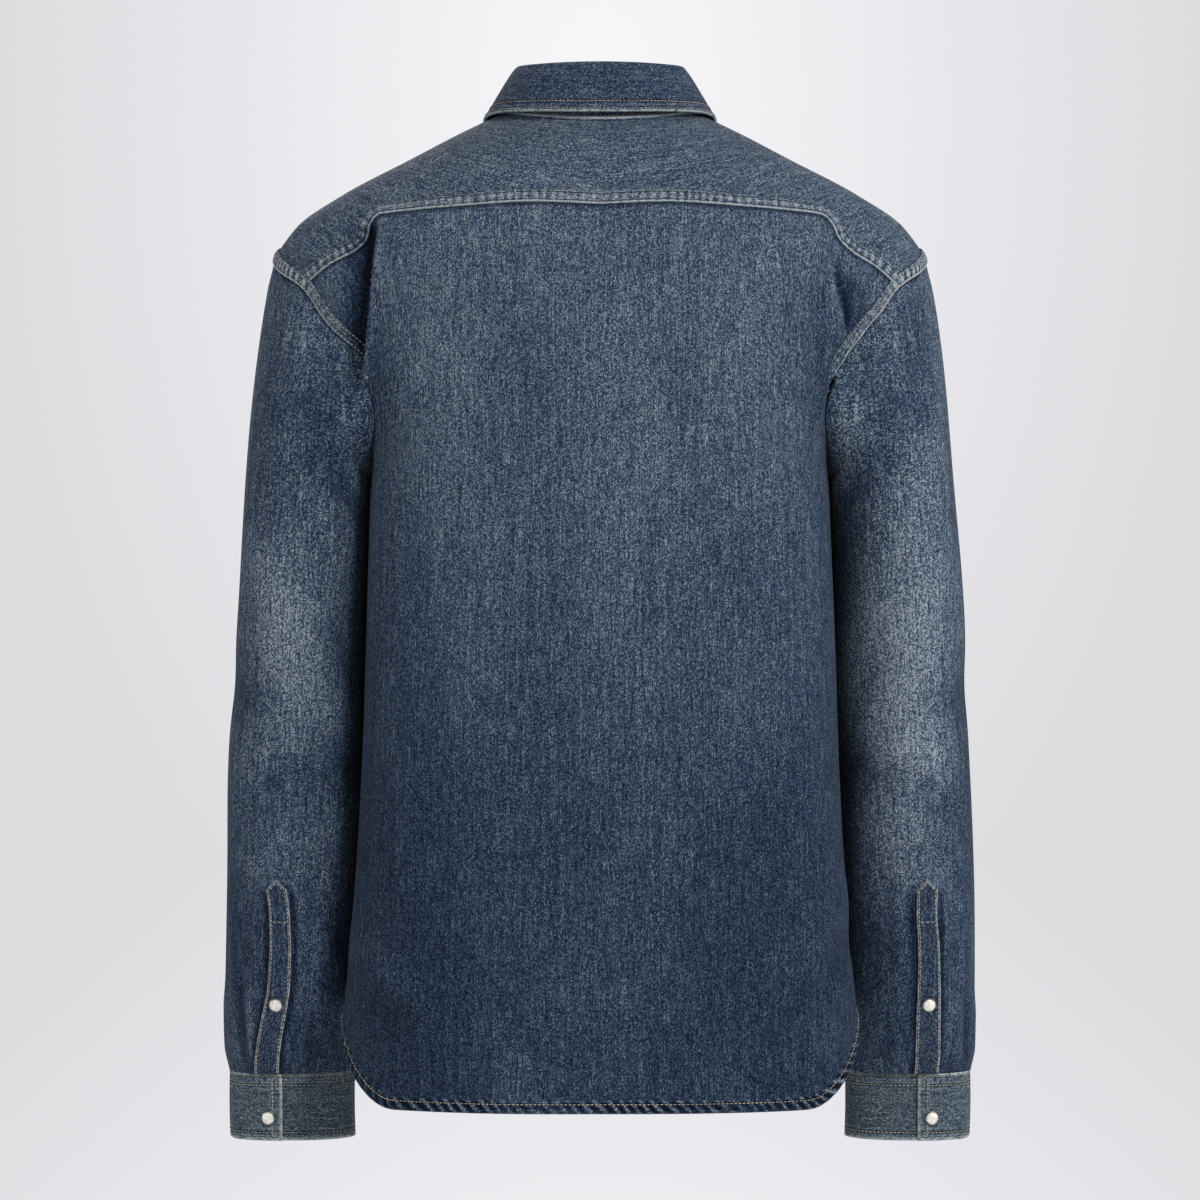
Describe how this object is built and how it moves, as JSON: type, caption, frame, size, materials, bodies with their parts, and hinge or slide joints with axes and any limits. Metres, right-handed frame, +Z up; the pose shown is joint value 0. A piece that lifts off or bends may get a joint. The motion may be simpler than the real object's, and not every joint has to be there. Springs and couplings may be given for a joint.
{
  "type": "denim shirt",
  "caption": "Long-sleeved denim shirt with a pointed collar, back yoke, snap front and snap cuffs, filled out as worn with no wearer.",
  "frame": {"origin": "middle of the neck at the height where the yoke meets the side of the neck, where the shirt rests on its wearer", "axes": "+Z up; the front of the shirt faces -Y; the wearer's left arm is at +X"},
  "size_m": [0.561, 0.2729, 0.799],
  "materials": {
    "denim": "washed blue twill with faded edges",
    "pearl": "polished pearl caps in thin metal rims"
  },
  "bodies": {
    "root": {"back": "denim", "yoke": "denim", "front_left": "denim", "front_right": "denim", "sleeve_left": "denim", "sleeve_right": "denim", "cuff_left": "denim", "cuff_right": "denim", "sleeve_placket_left": "denim", "sleeve_placket_right": "denim", "collar": "denim", "collar_stand": "denim", "front_placket": "denim", "snap_collar": "pearl", "snap_front_1": "pearl", "snap_front_2": "pearl", "snap_front_3": "pearl", "snap_front_4": "pearl", "snap_front_5": "pearl", "snap_front_6": "pearl", "snap_cuff_left": "pearl", "snap_cuff_right": "pearl", "snap_sleeve_left": "pearl", "snap_sleeve_right": "pearl"}
  },
  "joints": []
}
